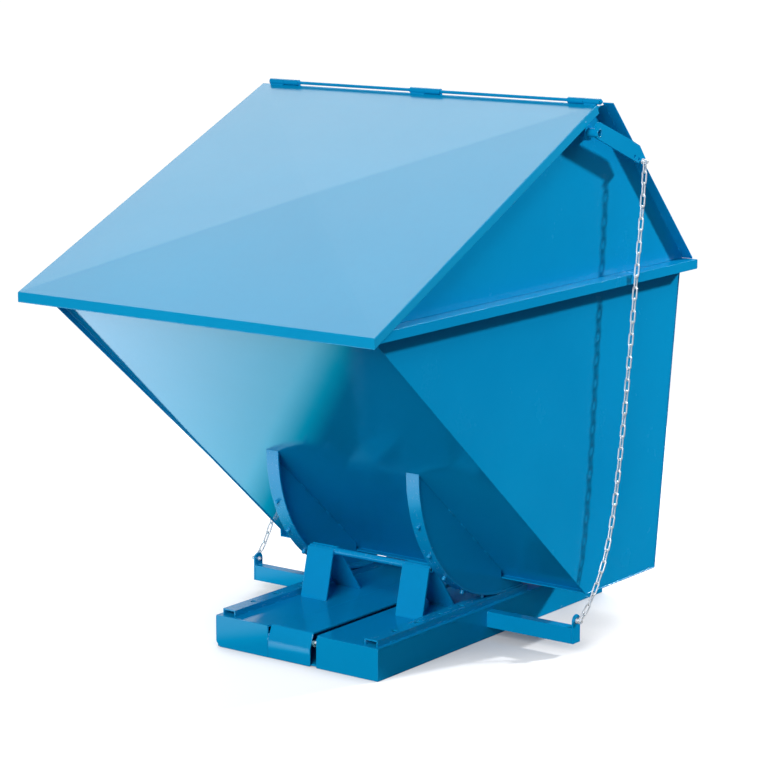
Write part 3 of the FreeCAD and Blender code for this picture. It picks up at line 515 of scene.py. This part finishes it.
# hopper: seams of the walls, the flat bottom and the rim
lines = []
for s in (1, -1):
    lines.append([M(s * 595.4, -812, floor_z(-812, 0.6)), M(s * 595.4, 236, floor_z(236, 0.6))])
    lines.append([M(s * 599.4, 252, 165.4), M(s * 599.4, 653, 165.4),
                  M(s * 599.4, 653 + 940 * 0.1273, 1105)])
beads("weld_wall_seams", "hopper", lines, radius=2.6, seed=11)
lines = []
for s in (1, -1):
    lines += stitches(M(s * 600.6, -790, 1138.4), M(s * 600.6, 770, 1138.4), 38.0 / 1000, 0.16)
beads("weld_rim_stitches", "hopper", lines, radius=2.2, seed=12)
lines = []
for s in (1, -1):
    lines.append([M(s * 602, -866.4, 1142.2), M(s * 649.4, -866.4, 1142.2)])
    lines.append([M(s * 650.1, -867.2, 1113.5), M(s * 650.1, -867.2, 1140.5)])
    lines.append([M(s * 649.6, 796.4, 1114), M(s * 649.6, 796.4, 1140.5)])
beads("weld_rim_corners", "hopper", lines, radius=1.3, seed=13)
# rockers
lines = []
for s in (1, -1):
    lines += stitches(M(s * 288.4, -60, floor_z(-60, 0.8)), M(s * 288.4, 244, floor_z(244, 0.8)),
                      0.034, 0.052)
    lines += stitches(M(s * 281.6, -60, floor_z(-60, 0.8)), M(s * 281.6, 244, floor_z(244, 0.8)),
                      0.034, 0.052)
beads("weld_rocker_stitches", "hopper", lines, radius=2.6, seed=14)
lines = []
for s in (1, -1):
    lines.append(arc(s * 281.4, 454.9, 0.5, 66.0))
    lines.append([M(s * 281.4, 262, RZ - 455.0), M(s * 281.4, 361, RZ - 455.0)])
    lines.append(arc(s * 288.4, 455.3, 0.5, 66.0))
beads("weld_rocker_strips", "hopper", lines, radius=1.7, seed=15)
lines = []
for x in (50, 58, 76, 84):
    lines.append([M(x, 572, 164.6), M(x, 594, 164.6)])
beads("weld_latch_keeper", "hopper", lines, radius=2.0, seed=16)
rings = []
for s in (1, -1):
    rings.append(circle(M(s * 600.4, 197, 1588), 0.0243, Vector((1, 0, 0))))
beads("weld_boss_rings", "hopper", rings=rings, radius=2.0, seed=17)
FALL = (1147.6 - 1667.5) / (796.0 - 312.0)
lines = []
for s in (1, -1):
    for ya, yb in ((336, 378), (486, 530), (650, 696), (764, 784)):
        lines.append([M(s * 600.8, y, 1667.5 + (y - 312) * FALL - 6.4) for y in (ya, yb)])
beads("weld_gable_flanges", "hopper", lines, radius=2.3, seed=18)
lines = []
for x in (-591, 591):
    lines.append([M(x, 228, 1654.6), M(x, 316, 1638.6)])
beads("weld_ridge_beam", "hopper", lines, radius=1.8, seed=19)

# base: plates, rails, stands, bar, arms and ears
lines = [[M(-107.0, -427.2, 3), M(-107.0, -427.2, 54), M(-107.0, -420.0, 76)],
         [M(-309.3, -426.3, 16), M(-309.3, -426.3, 98)],
         [M(309.3, -426.3, 3), M(309.3, -426.3, 98)]]
beads("weld_front_plates", "base", lines, radius=1.7, seed=21)
lines = []
for s in (1, -1):
    for x in (248, 296):
        lines += stitches(M(s * x, -400, 100.6), M(s * x, 376, 100.6), 0.032, 0.105)
beads("weld_rail_stitches", "base", lines, radius=1.9, seed=22)
lines = []
for s in (1, -1):
    for y in (-104.4, 80.4):
        lines.append([M(s * 136, y, 100.8), M(s * 233, y, 100.8)])
beads("weld_stand_feet", "base", lines, radius=2.2, seed=23)
rings = [circle(M(s * 133.6, -50, 250), 0.0112, Vector((1, 0, 0)), 32) for s in (1, -1)]
beads("weld_bar_rings", "base", rings=rings, radius=1.7, seed=24)
lines = []
for s in (1, -1):
    for y in (140.2, 174.8):
        lines.append([M(s * 310.5, y, 38), M(s * 310.5, y, 84)])
        lines.append([M(s * 619.5, y, 38), M(s * 619.5, y, 84)])
    for z in (36.2, 85.8):
        lines.append([M(s * 310.5, 142, z), M(s * 310.5, 173, z)])
        lines.append([M(s * 619.5, 142, z), M(s * 619.5, 173, z)])
beads("weld_outriggers", "base", lines, radius=1.9, seed=25)
lines = []
for s in (1, -1):
    lines += stitches(M(s * 309.7, -415, 93.6), M(s * 309.7, 800, 93.6), 0.03, 0.12)
    lines += stitches(M(s * 309.7, -415, 6.4), M(s * 309.7, 800, 6.4), 0.03, 0.12)
beads("weld_pocket_stitches", "base", lines, radius=1.3, seed=26)

# roof wings and levers
lines = []
rise = (1669.12 - 1131) / (218.9 + 903)
for x0, x1 in ((-597, -545), (-42, 11), (592, 631)):
    z = 1131 + (210.6 + 903) * rise
    lines.append([M(x0 + 2, 210.6, z + 1.0), M(x1 - 2, 210.6, z + 1.0)])
beads("weld_front_wing_hinges", "front_wing", lines, radius=1.2, seed=31)
ang2 = math.atan(FALL)


def slope_point(x, along, up):
    return M(x, 312 + along * math.cos(ang2) - up * math.sin(ang2),
             1667.5 + along * math.sin(ang2) + up * math.cos(ang2))


lines = []
for x0, x1 in ((-508, -458), (-77, -27), (27, 77), (458, 508)):
    lines.append([slope_point(x0 + 2, 104.6, 5.4), slope_point(x1 - 2, 104.6, 5.4)])
rings = [circle(slope_point(x, 640, 5.0), 0.0072,
                (slope_point(x, 640, 20) - slope_point(x, 640, 0)).normalized(), 28)
         for x in (-110, 110)]
beads("weld_rear_wing", "rear_wing", lines, rings, radius=1.6, seed=32)
rings = [circle(M(s * 651.2, 197, 1588), 0.0146, Vector((1, 0, 0)), 36) for s in (1, -1)]
rings += [circle(M(s * 657.6, 197, 1588), 0.0114, Vector((1, 0, 0)), 36) for s in (1, -1)]
beads("weld_lever_rings", "levers", rings=rings, radius=1.6, seed=33)

# --------------------------------------------------------------- washers


def washers(name, body, places, outer, inner, thick):
    bm = bmesh.new()
    for centre, axis in places:
        u = axis.orthogonal().normalized()
        w = axis.cross(u).normalized()
        profile = [(inner, 0.0), (inner, thick), (outer - thick * 0.3, thick),
                   (outer, thick * 0.7), (outer, 0.0)]
        rings = []
        for k in range(36):
            q = 2 * math.pi * k / 36
            d = u * math.cos(q) + w * math.sin(q)
            rings.append([bm.verts.new(centre + d * r + axis * h) for r, h in profile])
        for k in range(36):
            a, b = rings[k], rings[(k + 1) % 36]
            for i in range(len(profile)):
                j = (i + 1) % len(profile)
                bm.faces.new((a[i], a[j], b[j], b[i]))
    bmesh.ops.recalc_face_normals(bm, faces=bm.faces)
    mesh = bpy.data.meshes.new(name)
    bm.to_mesh(mesh)
    bm.free()
    mesh.materials.append(zinc)
    obj = bpy.data.objects.new(name, mesh)
    scene.collection.objects.link(obj)
    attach(obj, body)
    return obj


washers("washers_lower", "base",
        [(M(s * 626.1, 160, 106), Vector((s, 0, 0))) for s in (1, -1)], 0.0085, 0.0036, 0.0014)
washers("washers_upper", "levers",
        [(M(s * 658.1, 441, 1483), Vector((s, 0, 0))) for s in (1, -1)], 0.0085, 0.0036, 0.0014)
